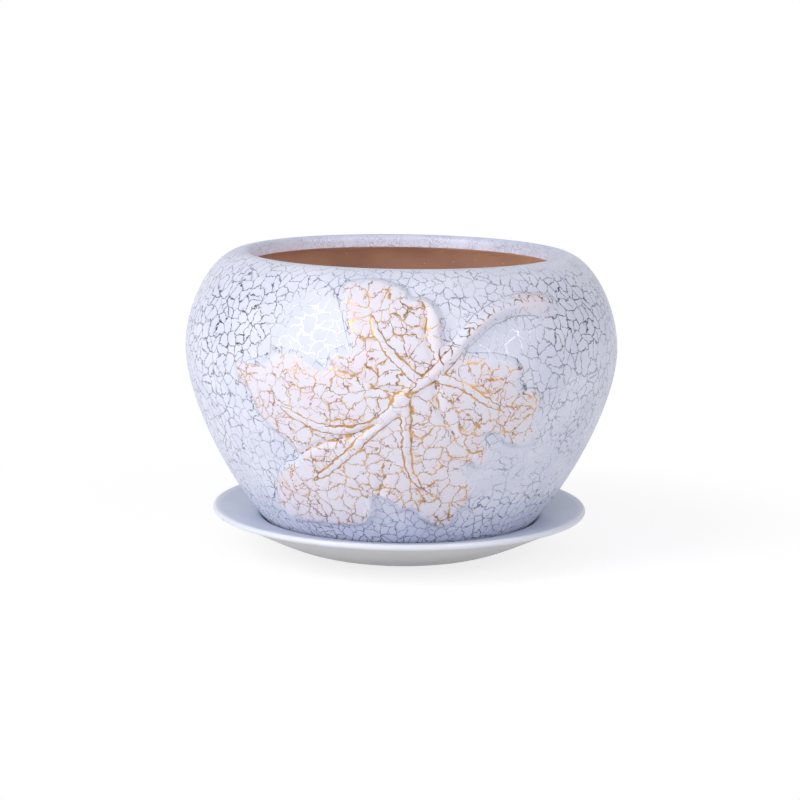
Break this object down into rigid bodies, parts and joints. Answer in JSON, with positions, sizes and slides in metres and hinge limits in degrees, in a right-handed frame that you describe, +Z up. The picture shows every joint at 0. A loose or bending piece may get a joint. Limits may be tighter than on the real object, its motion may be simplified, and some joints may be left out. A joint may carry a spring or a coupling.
{
  "type": "ceramic orchid pot with saucer",
  "caption": "Round-bellied glazed pot with a moulded leaf in relief, a narrow mouth and a drained floor, standing in a loose wide-flanged saucer.",
  "frame": {"origin": "on the ground, on the axis of the pot and the saucer, at the centre of the saucer's foot ring", "axes": "+Z up along the axis of the pot and the saucer, -Y towards the leaf on the front, +X to the right of someone who looks at the leaf"},
  "size_m": [0.2348, 0.2383, 0.165],
  "materials": {
    "crackle_glaze": "satin pale lavender glaze, crackled over a metallic ground, gold on the leaf and silver elsewhere; bare clay inside",
    "plain_glaze": "satin pale grey-blue glaze, fine grained"
  },
  "bodies": {
    "saucer": {"saucer": "plain_glaze"},
    "pot": {"pot": "crackle_glaze"}
  },
  "joints": [
    {"name": "pot_lift", "type": "slide", "parent": "saucer", "child": "pot", "axis": [0, 0, 1], "range_m": [0, 0.06]}
  ]
}
